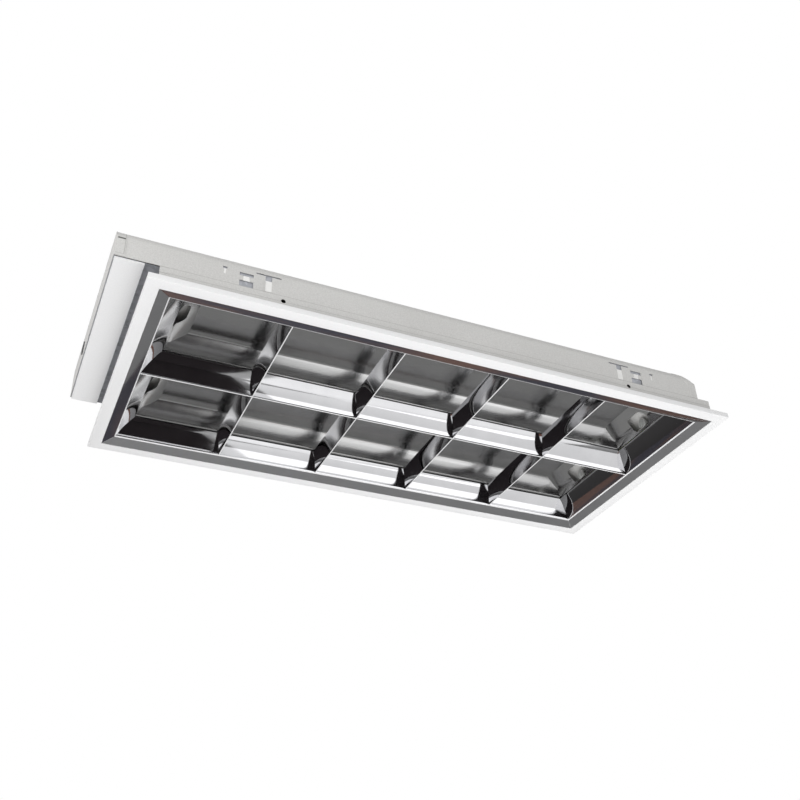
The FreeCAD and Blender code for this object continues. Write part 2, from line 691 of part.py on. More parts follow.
def make_reflectors():
    """One trough over each lamp row, with a sloping end plate at both ends."""
    foot = louver_half_length - end_lean
    thick = reflector_sheet
    for label, side in SIDES:
        centre = side * row_centre
        inside = prism("trough_inside_" + label, "YZ", shifted(trough_space(0), centre), -foot, foot)
        outside = prism("trough_outside_" + label, "YZ", shifted(trough_space(thick), centre), -foot, foot)
        wall = wall_place(reflector_low + thick) - housing_sheet * 2
        inner = row_centre - trough_half - reflector_flange
        ys = (side * wall, side * inner) if side == NEAR else (side * inner, side * wall)
        flange = box("trough_flange_" + label, (-foot, ys[0], reflector_low), (foot, ys[1],
                                                                               reflector_low + thick))
        shell = cut("trough_shell_" + label, fuse("trough_blank_" + label, [outside, flange]), [inside])
        right, left = reflector_end_corners(RIGHT), reflector_end_corners(LEFT)
        ends = prism("trough_ends_" + label, "XZ",
                     [(left[0][0], reflector_low - 1), (right[0][0], reflector_low - 1)] + right
                     + [(right[2][0], reflector_top + 2), (left[2][0], reflector_top + 2)] + left[::-1],
                     -half_width, half_width)
        node("reflector_" + label, common("reflector_" + label, [shell, ends]))
        for end_label, end_side in ENDS:
            name = "reflector_end_%s_%s" % (label, end_label)
            line = reflector_end_corners(end_side)
            back = [(p[0] + end_side * thick * 1.5, p[1]) for p in line]
            plate = prism(name + "_plate", "XZ", line + back[::-1], centre - row_centre, centre + row_centre)
            fitted = common(name + "_fitted", [
                plate,
                prism(name + "_room", "YZ", shifted(trough_space(0), centre), -half_length, half_length),
            ])
            reach = window_width / 2 - window_height / 2
            low, high = lamp_level - window_height / 2, lamp_level + window_height / 2
            oval = [(centre - reach, low), (centre + reach, low, HALF_ROUND), (centre + reach, high),
                    (centre - reach, high, HALF_ROUND)]
            xs = (end_side * (foot + PAST), end_side * (foot - end_knee_draw - end_slope_draw - PAST))
            window = prism(name + "_window", "YZ", oval, *(xs if end_side == LEFT else xs[::-1]))
            node(name, cut(name, fitted, [window]))
    strip = box("centre_strip", (-foot, -channel_half, reflector_low - thick), (foot, channel_half,
                                                                               reflector_low))
    node("centre_cover", strip)


# --- Lampholders and control gear -----------------------------------------------------------


def make_lampholders():
    """Four holders on the end walls, each with a rotor that turns the lamp pins into contact."""
    for label, side in SIDES:
        for end_label, end in ENDS:
            name = "%s_%s" % (label, end_label)
            centre = side * row_centre
            wall = (housing_right if end == RIGHT else housing_left) - end * housing_sheet
            face = wall - end * holder_depth

            def along(depth, length):
                """Start of a rod of that length, that deep behind the face."""
                return face + depth if end == RIGHT else face - depth - length

            head = rod("holder_head_" + name, "X", holder_radius, holder_head,
                       (along(0, holder_head), centre, lamp_level))
            neck = along(0, holder_depth)
            low = lamp_level - holder_drop - holder_foot / 2
            foot = box("holder_foot_" + name, (neck, centre - holder_foot / 2, low),
                       (neck + holder_depth, centre + holder_foot / 2, low + holder_foot))
            recess = PAST + rotor_depth + rotor_play
            recess_start = along(-PAST, recess)
            bore = rod("holder_bore_" + name, "X", rotor_radius + rotor_fit, recess,
                       (recess_start, centre, lamp_level))
            slot = box("holder_slot_" + name,
                       (recess_start, centre - pin_slot / 2, lamp_level - holder_radius - PAST),
                       (recess_start + recess, centre + pin_slot / 2, lamp_level))
            node("lampholder_" + name, cut("lampholder_" + name,
                                           fuse("holder_body_" + name, [head, foot]), [bore, slot]))
            disc = rod("rotor_disc_" + name, "X", rotor_radius, rotor_depth,
                       (along(0, rotor_depth), centre, lamp_level))
            groove_depth = PAST + rotor_depth * 0.7
            groove_start = along(-PAST, groove_depth)
            groove = box("rotor_groove_" + name,
                         (groove_start, centre - pin_slot / 2, lamp_level - rotor_radius - PAST),
                         (groove_start + groove_depth, centre + pin_slot / 2,
                          lamp_level + rotor_radius * 0.6))
            node("rotor_" + name, cut("rotor_" + name, disc, [groove]))


def make_control_gear():
    """Electronic ballast in the channel between the reflectors, terminals in the wiring box."""
    top = housing_height - housing_sheet
    left = ballast_shift - ballast_length / 2
    right = ballast_shift + ballast_length / 2
    can = box("ballast_can", (left, -ballast_width / 2, top - ballast_height),
              (right, ballast_width / 2, top))
    tabs = [
        box("ballast_tab_left", (left - tab_length, -ballast_width / 2, top - tab_sheet),
            (left, ballast_width / 2, top)),
        box("ballast_tab_right", (right, -ballast_width / 2, top - tab_sheet),
            (right + tab_length, ballast_width / 2, top)),
    ]
    node("ballast", fuse("ballast", [can] + tabs))
    low = top - tab_sheet - screw_head
    heads = [
        rod("screw_left", "Z", screw_radius, screw_head, (left - tab_length / 2, 0, low)),
        rod("screw_right", "Z", screw_radius, screw_head, (right + tab_length / 2, 0, low)),
    ]
    node("ballast_screws", group("ballast_screws", heads))

    middle = housing_left + housing_overhang / 2
    floor = base_height + housing_sheet
    block = box("block_body", (middle - block_width / 2, block_place - block_length / 2, floor),
                (middle + block_width / 2, block_place + block_length / 2, floor + block_height))
    ways = []
    for number in range(WAYS):
        across = block_place - block_length / 2 + block_length * ((number + 0.5) / WAYS)
        ways.append(rod("block_way_%d" % number, "X", way_radius, block_width + PAST * 2,
                        (middle - block_width / 2 - PAST, across, floor + block_height / 2)))
    node("terminal_block", cut("terminal_block", block, ways))
    node("earth_stud", rod("earth_stud", "Z", stud_radius, stud_length, (middle, stud_place, floor)))
    seat = floor + nut_level
    nut = cut("earth_nut", rod("nut_body", "Z", nut_radius, nut_height, (middle, stud_place, seat)),
              [rod("nut_bore", "Z", stud_radius, nut_height + PAST * 2, (middle, stud_place, seat - PAST))])
    node("earth_nut", nut)


def lead_shape(points, radius, bend):
    """A round lead through its points, each corner rounded by the same bend."""
    corners = [FreeCAD.Vector(*[size_of(value).value for value in point]) for point in points]
    edges = []
    start = corners[0]
    for before, corner, after in zip(corners, corners[1:], corners[2:]):
        back = (before - corner).normalize()
        ahead = (after - corner).normalize()
        half_turn = back.getAngle(ahead) / 2
        first = corner + back * (bend / math.tan(half_turn))
        last = corner + ahead * (bend / math.tan(half_turn))
        inward = (back + ahead).normalize()
        hub = corner + inward * (bend / math.sin(half_turn))
        edges.append(Part.LineSegment(start, first).toShape())
        edges.append(Part.Arc(first, hub - inward * bend, last).toShape())
        start = last
    edges.append(Part.LineSegment(start, corners[-1]).toShape())
    ring = Part.Wire(Part.Circle(corners[0], corners[1] - corners[0], radius).toShape())
    return Part.Wire(edges).makePipeShell([ring], True, False)


def lead(name, points):
    item = doc.addObject("Part::Feature", name)
    item.Shape = lead_shape(points, wire_radius.value, wire_bend.value)
    node(name, item)


def make_leads():
    """Leads from the ballast to the lampholders and to the terminals, and the earth lead."""
    level = lamp_level - holder_drop
    gear_left = ballast_shift - ballast_length / 2 - tab_length
    gear_right = ballast_shift + ballast_length / 2 + tab_length
    gear_level = housing_height - housing_sheet - ballast_height / 2
    left = housing_left + housing_sheet + holder_depth / 3
    right = housing_right - housing_sheet - holder_depth / 3
    channel = wire_bend / 2
    for label, side in SIDES:
        edge = side * (row_centre - holder_foot / 2)
        lane = side * channel
        lead("lamp_lead_%s_right" % label,
             [(right, edge, level), (right, lane, level), (gear_right + wire_bend * 4, lane, level),
              (gear_right + wire_bend * 2, lane, gear_level), (gear_right - tab_length, lane, gear_level)])
        lead("lamp_lead_%s_left" % label,
             [(left, edge, level), (left, lane, level), (gear_left - wire_bend * 4, lane, level),
              (gear_left - wire_bend * 2, lane, gear_level), (gear_left + tab_length, lane, gear_level)])
    middle = housing_left + housing_overhang / 2
    supply = block_place + block_length / 4
    start = base_height + housing_sheet + block_height / 2
    turn = middle + block_width / 2 + wire_bend * 1.5
    high = gear_level + wire_radius * 3
    lead("supply_lead",
         [(middle + block_width / 2, supply, start), (turn, supply, start),
          (turn, supply + wire_bend * 3, supply_level), (turn, 0, supply_level),
          (gear_left - wire_bend * 6, 0, supply_level), (gear_left - wire_bend * 3, 0, high),
          (gear_left + tab_length, 0, high)])
    edge = row_centre - holder_foot / 2
    low = level - wire_radius * 3
    sag = low - wire_radius * 2
    run = edge - wire_bend * 2
    lead("earth_lead", [(right, -edge, low), (right, -run, low), (right, wire_bend - row_centre / 2, sag),
                        (right, row_centre / 2 - wire_bend, sag), (right, run, low), (right, edge, low)])


# --- Louver, hinged along the far side ------------------------------------------------------


def leaning_strip(rim, edge, lean):
    """Section of a rim and its leaning mirror, folded from one strip."""
    thick = louver_sheet
    return [(rim, rim_drop), (edge, louver_edge, MIRROR_BULGE), (edge - lean, louver_top),
            (edge - lean + thick, louver_top, -MIRROR_BULGE), (edge + thick, louver_edge + thick),
            (rim, rim_drop + thick)]


def make_outer_reflectors():
    """Four strips round the louver, mitred where they meet."""
    side_line = [rim_side, louver_half_width, louver_half_width - side_lean]
    end_line = [rim_end, louver_half_length, louver_half_length - end_lean]
    for label, side in SIDES:
        profile = leaning_strip(rim_side, louver_half_width, side_lean)
        strip = prism("side_strip_" + label, "YZ", mirrored(profile, side), -rim_end, rim_end)
        right = [(end - join_gap, side * across) for end, across in zip(end_line, side_line)]
        left = [(join_gap - end, side * across) for end, across in zip(end_line, side_line)]
        plan = prism("side_plan_" + label, "XY", right + left[::-1], -1, louver_top + 1)
        node("side_reflector_" + label, common("side_reflector_" + label, [strip, plan]))
    for label, side in ENDS:
        profile = leaning_strip(rim_end, louver_half_length, end_lean)
        strip = prism("end_strip_" + label, "XZ", mirrored(profile, side), -rim_side, rim_side)
        far = [(side * end, across) for end, across in zip(end_line, side_line)]
        near = [(side * end, -across) for end, across in zip(end_line, side_line)]
        plan = prism("end_plan_" + label, "XY", far + near[::-1], -1, louver_top + 1)
        node("end_reflector_" + label, common("end_reflector_" + label, [strip, plan]))


def folded_vee(half, middle):
    """Section of a blade: a folded sheet, narrow below and open above."""
    low, high, fold = louver_edge, louver_top, louver_edge + fold_rise
    bend, inner, wall = MIRROR_BULGE, edge_half / 4, half - louver_sheet
    return [(middle - edge_half, low), (middle + edge_half, low, -bend), (middle + half, high),
            (middle + wall, high, bend), (middle + inner, fold), (middle - inner, fold, bend),
            (middle - wall, high), (middle - half, high, -bend)]


def make_spine():
    """Mirror vee between the two rows."""
    bar = prism("spine_bar", "YZ", folded_vee(spine_half, size_of(0)), -louver_half_length,
                louver_half_length)
    foot = louver_half_length - join_gap
    head = foot - end_lean
    room = prism("spine_room", "XZ", [(-foot, louver_edge), (foot, louver_edge, MIRROR_BULGE),
                                      (head, louver_top), (-head, louver_top, MIRROR_BULGE)],
                 -spine_half - 1, spine_half + 1)
    node("louver_spine", common("louver_spine", [bar, room]))


def make_cross_blades():
    """Four cross blades in each row, fitted between the spine and a side reflector."""
    for label, side in SIDES:
        foot, head = louver_half_width - join_gap, louver_half_width - side_lean - join_gap
        profile = [(edge_half + join_gap, louver_edge), (foot, louver_edge, MIRROR_BULGE), (head, louver_top),
                   (spine_half + join_gap, louver_top, MIRROR_BULGE)]
        for number in range(1, CELLS):
            name = "cross_blade_%s_%d" % (label, number)
            middle = cell_pitch * number - louver_half_length
            ys = (-louver_half_width, 0) if side == NEAR else (0, louver_half_width)
            bar = prism(name + "_bar", "XZ", folded_vee(blade_half, middle), *ys)
            room = prism(name + "_room", "YZ", mirrored(profile, side), middle - blade_half - 1,
                         middle + blade_half + 1)
            node(name, common(name, [bar, room]))


def rim_top(across):
    """Height of the rim's upper face at a distance from the middle."""
    return rim_drop + louver_sheet + (rim_side - across) * rim_slope


def ear_outline(top):
    """Ear round the hinge axis, from its rounded tip up to the given height."""
    left, right = hinge_place - ear_half, hinge_place + ear_half
    return [(left, hinge_level, HALF_ROUND), (right, hinge_level), (right, top), (left, top)]


def make_hinges():
    """Lugs and pins on the louver's far rim, in ears that hang from the housing."""
    lugs, pins, brackets = [], [], []
    wall = wall_foot - housing_sheet
    for label, end in ENDS:
        middle = cutout_shift + end * hinge_offset
        left, right = hinge_place - ear_half, hinge_place + ear_half
        plate = prism("lug_plate_" + label, "YZ",
                      [(left, rim_top(left)), (right, rim_top(right)), (right, hinge_level, HALF_ROUND),
                       (left, hinge_level)], middle - lug_half, middle + lug_half)
        start = middle - pin_length / 2
        hole = rod("lug_hole_" + label, "X", pin_radius, pin_length, (start, hinge_place, hinge_level))
        lugs.append(cut("hinge_lug_" + label, plate, [hole]))
        pins.append(rod("hinge_pin_" + label, "X", pin_radius, pin_length, (start, hinge_place, hinge_level)))
        top = arm_level + ear_sheet
        reach = ear_gap + ear_sheet
        parts = [
            box("hinge_arm_" + label, (middle - reach, left, arm_level), (middle + reach, wall, top)),
            box("hinge_back_" + label, (middle - reach * 2, wall - ear_sheet, arm_level),
                (middle + reach * 2, wall, arm_level + arm_height)),
            prism("hinge_ear_a_" + label, "YZ", ear_outline(top), middle - reach, middle - ear_gap),
            prism("hinge_ear_b_" + label, "YZ", ear_outline(top), middle + ear_gap, middle + reach),
        ]
        bore = rod("hinge_bore_" + label, "X", pin_radius + pin_fit, pin_length + 2,
                   (start - 1, hinge_place, hinge_level))
        brackets.append(cut("hinge_bracket_" + label, fuse("hinge_body_" + label, parts), [bore]))
    node("hinge_lugs", group("hinge_lugs", lugs))
    node("hinge_pins", group("hinge_pins", pins))
    node("hinge_brackets", group("hinge_brackets", brackets))


def make_catches():
    """Sprung catches on the near side wall, each with its nose at a keeper on the louver's rim."""
    keepers, pins, brackets = [], [], []
    wall = wall_foot - housing_sheet
    for label, end in ENDS:
        middle = cutout_shift + end * hinge_offset
        half = catch_width / 2
        front = catch_place - catch_sheet / 2
        back = catch_place + catch_sheet / 2
        low = catch_level - catch_reach
        inner = keeper_face - louver_sheet
        keepers.append(prism("keeper_" + label, "YZ", mirrored(
            [(inner, rim_top(inner)), (keeper_face, rim_top(keeper_face)),
             (keeper_face, rim_top(keeper_face) + keeper_height),
             (inner, rim_top(keeper_face) + keeper_height)], NEAR), middle - half, middle + half))
        blade = prism("catch_blade_" + label, "YZ", mirrored(
            [(back, catch_level), (back, low), (front, low), (front - nose_depth, low + nose_depth),
             (front - nose_depth, low + nose_depth * 1.4), (front, low + nose_depth * 2.4),
             (front, catch_level)], NEAR), middle - half, middle + half)
        eye = rod("catch_eye_" + label, "X", catch_eye, catch_width,
                  (middle - half, -catch_place, catch_level))
        bore = rod("catch_bore_" + label, "X", pin_radius + pin_fit, catch_width + 2,
                   (middle - half - 1, -catch_place, catch_level))
        node("catch_" + label, cut("catch_" + label, fuse("catch_body_" + label, [blade, eye]), [bore]))
        inside = half + catch_play
        outside = inside + ear_sheet
        pin_start = middle - outside
        pins.append(rod("catch_pin_" + label, "X", pin_radius, outside * 2,
                        (pin_start, -catch_place, catch_level)))
        pin_room = rod("catch_pin_room_" + label, "X", pin_radius, outside * 2,
                       (pin_start, -catch_place, catch_level))
        tip = ear_half - catch_place
        plates = [
            box("catch_back_" + label, (middle - outside, -wall, catch_level - ear_half),
                (middle + outside, ear_sheet - wall, catch_level + ear_half)),
            box("catch_ear_a_" + label, (middle - outside, -wall, catch_level - ear_half),
                (middle - inside, tip, catch_level + ear_half)),
            box("catch_ear_b_" + label, (middle + inside, -wall, catch_level - ear_half),
                (middle + outside, tip, catch_level + ear_half)),
        ]
        brackets.append(cut("catch_bracket_" + label, fuse("catch_holder_" + label, plates), [pin_room]))
    node("louver_keepers", group("louver_keepers", keepers))
    node("catch_pins", group("catch_pins", pins))
    node("catch_brackets", group("catch_brackets", brackets))


make_trim_frame()
make_base_frame()
make_housing_tray()
make_end_cap_right()
make_end_cap_left()
make_wiring_box()
make_hanger_plates()
make_reflectors()
make_lampholders()
make_control_gear()
make_leads()
make_outer_reflectors()
make_spine()
make_cross_blades()
make_hinges()
make_catches()

doc.recompute()
for item in doc.Objects:
    if "Invalid" in item.State or "Error" in item.State:
        raise RuntimeError("%s did not compute: %s" % (item.Name, item.State))
for item in nodes:
    if item.Shape.isNull() or not item.Shape.isValid() or not item.Shape.Solids:
        raise RuntimeError("%s has no valid solid" % item.Label)
os.makedirs("parts", exist_ok=True)
for item in nodes:
    item.Shape.exportStep(os.path.join("parts", item.Label + ".step"))
print("%d nodes written" % len(nodes))
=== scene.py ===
import json
import math

import bmesh
import bpy
from mathutils import Matrix, Vector


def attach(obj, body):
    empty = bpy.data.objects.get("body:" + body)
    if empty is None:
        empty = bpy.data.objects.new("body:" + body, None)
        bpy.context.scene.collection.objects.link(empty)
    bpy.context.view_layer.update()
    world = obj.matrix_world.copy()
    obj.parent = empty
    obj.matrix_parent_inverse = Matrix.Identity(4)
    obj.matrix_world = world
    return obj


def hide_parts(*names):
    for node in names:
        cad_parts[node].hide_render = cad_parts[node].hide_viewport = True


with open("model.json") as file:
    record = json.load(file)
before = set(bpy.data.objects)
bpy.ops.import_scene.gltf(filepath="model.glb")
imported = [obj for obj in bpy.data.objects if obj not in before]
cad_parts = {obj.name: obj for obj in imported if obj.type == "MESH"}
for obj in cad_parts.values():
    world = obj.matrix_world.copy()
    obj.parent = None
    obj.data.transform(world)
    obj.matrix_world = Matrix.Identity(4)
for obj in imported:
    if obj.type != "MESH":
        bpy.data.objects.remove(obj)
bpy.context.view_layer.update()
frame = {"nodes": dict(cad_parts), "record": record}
nodes = frame["nodes"]
print("frame loaded,", len(nodes), "nodes")

mm = 0.001  # the pieces' own dictionaries and the bands give lengths in millimetres
below = (0, 0, -9000)  # a point far below the part, that the lower faces look towards
inCell = (0, 0, 20)  # a point in the light opening, that the mirrors look towards


# drawing with bmesh

def drawSection(bm, corners, arcSteps=12):
    # line through (across, height) or (across, height, bulge) in the plane x = 0;
    # the bulge of the edge that follows is the tangent of a quarter of its turn
    last = bm.verts.new((0, corners[0][0] * mm, corners[0][1] * mm))
    for start, end in zip(corners, corners[1:]):
        y1, z1, y2, z2 = (value * mm for value in (start[0], start[1], end[0], end[1]))
        if len(start) > 2:
            bulge = start[2]
            reach = (1 - bulge ** 2) / (4 * bulge)
            centre = (0, (y1 + y2) / 2 - (z2 - z1) * reach, (z1 + z2) / 2 + (y2 - y1) * reach)
            turned = bmesh.ops.spin(bm, geom=[last], cent=centre, axis=(1, 0, 0),
                                    dvec=(0, 0, 0), angle=4 * math.atan(bulge),
                                    steps=arcSteps, use_merge=False)
            last = turned["geom_last"][0]
        else:
            grown = bmesh.ops.extrude_vert_indiv(bm, verts=[last])
            last = grown["verts"][0]
            bmesh.ops.translate(bm, verts=[last], vec=(0, y2 - y1, z2 - z1))


def roundCorners(bm, offset, segments, sharpest=12):
    # rounds the bends of a section line, but not the small turns inside its arcs
    bends = []
    for vert in bm.verts:
        if len(vert.link_edges) == 2:
            one, two = ((edge.other_vert(vert).co - vert.co) for edge in vert.link_edges)
            if math.degrees(one.angle(-two)) > sharpest:
                bends.append(vert)
    if bends:
        bmesh.ops.bevel(bm, geom=bends, offset=offset * mm, offset_type="OFFSET",
                        segments=segments, profile=0.5, affect="VERTICES", material=-1)


def pullAlong(bm, reach=1.0):
    # extrudes the section along x from -reach to reach; each piece then places its own ends
    edges = bm.edges[:]
    bmesh.ops.translate(bm, verts=bm.verts[:], vec=(-reach * mm, 0, 0))
    grown = bmesh.ops.extrude_edge_only(bm, edges=edges)["geom"]
    fresh = [item for item in grown if isinstance(item, bmesh.types.BMVert)]
    bmesh.ops.translate(bm, verts=fresh, vec=(2 * reach * mm, 0, 0))


def faceTowards(bm, inside):
    # turns an open sheet so that the face nearest to a point looks towards it
    bmesh.ops.recalc_face_normals(bm, faces=bm.faces[:])
    bm.normal_update()
    point = Vector(inside) * mm
    face = min(bm.faces, key=lambda item: (item.calc_center_median() - point).length)
    if face.normal.dot(point - face.calc_center_median()) < 0:
        bmesh.ops.reverse_faces(bm, faces=bm.faces[:])
    bm.normal_update()


def thicken(bm, sheet):
    bmesh.ops.solidify(bm, geom=bm.faces[:], thickness=sheet * mm)


def turnAbout(bm, angle):
    # turns everything about the vertical through the origin
    turn = Matrix.Rotation(angle, 3, "Z")
    bmesh.ops.rotate(bm, verts=bm.verts[:], cent=(0, 0, 0), matrix=turn)


def shiftBy(bm, along, across):
    bmesh.ops.translate(bm, verts=bm.verts[:], vec=(along * mm, across * mm, 0))


def weldPoints(bm, reach=0.01):
    bmesh.ops.remove_doubles(bm, verts=bm.verts[:], dist=reach * mm)


def finishPiece(name, bm, slotName, body, replaced, sharpAngle=32):
    # turns the bmesh into a smooth shaded piece that rides on a body and replaces CAD nodes
    mesh = bpy.data.meshes.new(name)
    bm.normal_update()
    bm.to_mesh(mesh)
    bm.free()
    mesh.shade_smooth()
    mesh.set_sharp_from_angle(angle=math.radians(sharpAngle))
    mesh.materials.append(finishes[slotName])
    piece = bpy.data.objects.new(name, mesh)
    bpy.context.scene.collection.objects.link(piece)
    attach(piece, body)
    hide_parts(*replaced)
    return piece


# materials

noiseSpan = (0.3, 0.7)  # most of a noise's values lie between these


def newFinish(name, colour, metallic, roughness):
    # a Principled material whose plain values sit on the shader's own sockets
    finish = bpy.data.materials.new(name)
    finish.use_nodes = True
    tree = finish.node_tree
    shader = tree.nodes["Principled BSDF"]
    shader.inputs["Base Color"].default_value = (*colour, 1)
    shader.inputs["Metallic"].default_value = metallic
    shader.inputs["Roughness"].default_value = roughness
    finish.diffuse_color = (*colour, 1)
    return finish, tree, shader


def objectNoise(tree, scale, detail=2.0, roughness=0.5, stretch=None):
    # noise on object coordinates, stretched along an axis where asked
    where = tree.nodes.new("ShaderNodeTexCoord")
    noise = tree.nodes.new("ShaderNodeTexNoise")
    noise.inputs["Scale"].default_value = scale
    noise.inputs["Detail"].default_value = detail
    noise.inputs["Roughness"].default_value = roughness
    if stretch:
        mapping = tree.nodes.new("ShaderNodeMapping")
        mapping.inputs["Scale"].default_value = stretch
        tree.links.new(where.outputs["Object"], mapping.inputs["Vector"])
        tree.links.new(mapping.outputs["Vector"], noise.inputs["Vector"])
    else:
        tree.links.new(where.outputs["Object"], noise.inputs["Vector"])
    return noise


def ramp(tree, source, stops):
    # colour ramp between (place, colour) stops
    node = tree.nodes.new("ShaderNodeValToRGB")
    elements = node.color_ramp.elements
    while len(elements) < len(stops):
        elements.new(0.5)
    for element, (place, colour) in zip(elements, stops):
        element.position = place
        element.color = (*colour, 1)
    tree.links.new(source, node.inputs["Fac"])
    return node.outputs["Color"]


def remap(tree, source, low, high):
    # spreads a noise over the values from low to high
    node = tree.nodes.new("ShaderNodeMapRange")
    node.inputs["From Min"].default_value, node.inputs["From Max"].default_value = noiseSpan
    node.inputs["To Min"].default_value = low
    node.inputs["To Max"].default_value = high
    tree.links.new(source, node.inputs["Value"])
    return node.outputs["Result"]


def addBump(tree, shader, height, strength, distance, coarser=None):
    # relief from a height over a distance in metres, on top of a coarser one where given
    bump = tree.nodes.new("ShaderNodeBump")
    bump.inputs["Strength"].default_value = strength
    bump.inputs["Distance"].default_value = distance
    tree.links.new(height, bump.inputs["Height"])
    if coarser:
        tree.links.new(coarser.outputs["Normal"], bump.inputs["Normal"])
    tree.links.new(bump.outputs["Normal"], shader.inputs["Normal"])
    return bump


def bandMask(tree, bands, soft):
    # 1 where every (axis, low, high) band of the object meets, falling to 0 over a soft edge
    where = tree.nodes.new("ShaderNodeTexCoord")
    split = tree.nodes.new("ShaderNodeSeparateXYZ")
    tree.links.new(where.outputs["Object"], split.inputs["Vector"])
    mask = None
    for axis, low, high in bands:
        for start, end in ((low - soft, low), (high + soft, high)):
            edge = tree.nodes.new("ShaderNodeMapRange")
            edge.inputs["From Min"].default_value = start * mm
            edge.inputs["From Max"].default_value = end * mm
            tree.links.new(split.outputs[axis], edge.inputs["Value"])
            if mask is None:
                mask = edge.outputs["Result"]
                continue
            both = tree.nodes.new("ShaderNodeMath")
            both.operation = "MULTIPLY"
            tree.links.new(mask, both.inputs[0])
            tree.links.new(edge.outputs["Result"], both.inputs[1])
            mask = both.outputs["Value"]
    return mask


def blendColour(tree, factor, first, second):
    # mixes a linked colour towards a plain one
    mix = tree.nodes.new("ShaderNodeMix")
    mix.data_type = "RGBA"
    tree.links.new(factor, mix.inputs[0])
    tree.links.new(first, mix.inputs[6])
    mix.inputs[7].default_value = (*second, 1)
    return mix.outputs[2]


coat = {"cloudScale": 6.0, "cloudShare": 0.35, "toneStops": (0.45, 0.9), "smoother": 0.06,
        "rougher": 0.08, "depth": 0.0003, "shadeBandSoft": 0.5}


def paintedSteel(name, light, dark, grain, grainBump, roughness, shadeBands=()):
    # powder coat: two close tones in a fine grain, a broad cloud, a slight orange peel, and
    # painted shade in any bands given
    finish, tree, shader = newFinish(name, light, 0.0, roughness)
    fine = objectNoise(tree, grain, detail=3.0, roughness=0.6)
    broad = objectNoise(tree, coat["cloudScale"])
    mix = tree.nodes.new("ShaderNodeMath")
    mix.operation = "MULTIPLY_ADD"
    mix.inputs[1].default_value = coat["cloudShare"]
    tree.links.new(broad.outputs["Fac"], mix.inputs[0])
    tree.links.new(fine.outputs["Fac"], mix.inputs[2])
    darkStop, lightStop = coat["toneStops"]
    colour = ramp(tree, mix.outputs["Value"], [(darkStop, dark), (lightStop, light)])
    # each band paints shade onto the coat, blending it towards a darker tone
    for bands, tone in shadeBands:
        colour = blendColour(tree, bandMask(tree, bands, coat["shadeBandSoft"]), colour, tone)
    tree.links.new(colour, shader.inputs["Base Color"])
    spread = remap(tree, broad.outputs["Fac"], roughness - coat["smoother"],
                   roughness + coat["rougher"])
    tree.links.new(spread, shader.inputs["Roughness"])
    addBump(tree, shader, fine.outputs["Fac"], grainBump, coat["depth"])
    return finish


rolled = {"smudgeStops": (0.25, 0.7), "rollingScale": 90.0, "rollingStretch": (0.02, 1.0, 1.0),
          "waveDepth": 0.002, "rollingDepth": 0.0002, "foldHighlightSoft": 0.3, "foldHighlightMetallic": 0.1}


def mirrorSheet(name, look):
    # bright rolled aluminium: faint waves, rolling lines, smudges and a few dull spots, and where
    # asked a painted highlight along the lower folds
    finish, tree, shader = newFinish(name, look["colour"], 1.0, look["roughness"])
    smudge = objectNoise(tree, look["smudgeScale"], detail=4.0, roughness=0.65)
    tree.links.new(remap(tree, smudge.outputs["Fac"], look["roughness"], look["smudged"]),
                   shader.inputs["Roughness"])
    dullStop, brightStop = rolled["smudgeStops"]
    tone = ramp(tree, smudge.outputs["Fac"],
                [(dullStop, look["dull"]), (brightStop, look["colour"])])
    # painted highlight: a pale, nearly matt band along the lower folds, for the bright fold edges
    if "fold" in look:
        fold = bandMask(tree, [("Z", *look["fold"])], rolled["foldHighlightSoft"])
        tone = blendColour(tree, fold, tone, look["foldHighlightTone"])
        highlightMetallic = tree.nodes.new("ShaderNodeMapRange")
        highlightMetallic.inputs["To Min"].default_value = 1.0
        highlightMetallic.inputs["To Max"].default_value = rolled["foldHighlightMetallic"]
        tree.links.new(fold, highlightMetallic.inputs["Value"])
        tree.links.new(highlightMetallic.outputs["Result"], shader.inputs["Metallic"])
    tree.links.new(tone, shader.inputs["Base Color"])
    wave = objectNoise(tree, look["waveScale"], detail=1.0, roughness=0.4)
    rolling = objectNoise(tree, rolled["rollingScale"], detail=3.0, roughness=0.6,
                          stretch=rolled["rollingStretch"])
    waves = addBump(tree, shader, wave.outputs["Fac"], look["wave"], rolled["waveDepth"])
    addBump(tree, shader, rolling.outputs["Fac"], look["rolling"], rolled["rollingDepth"], waves)
    return finish


# the fold band of the louver's look is a painted highlight along its lower folds, at heights 7.5
# to 9 mm
mirrorLook = {"colour": (0.66, 0.66, 0.675), "dull": (0.60, 0.60, 0.615), "roughness": 0.035,
              "smudged": 0.07, "smudgeScale": 18.0, "waveScale": 9.0, "wave": 0.05,
              "rolling": 0.02, "fold": (7.5, 9.0), "foldHighlightTone": (0.85, 0.85, 0.86)}
troughLook = {"colour": (0.62, 0.62, 0.62), "dull": (0.55, 0.55, 0.55), "roughness": 0.16,
              "smudged": 0.23, "smudgeScale": 12.0, "waveScale": 7.0, "wave": 0.05,
              "rolling": 0.05}

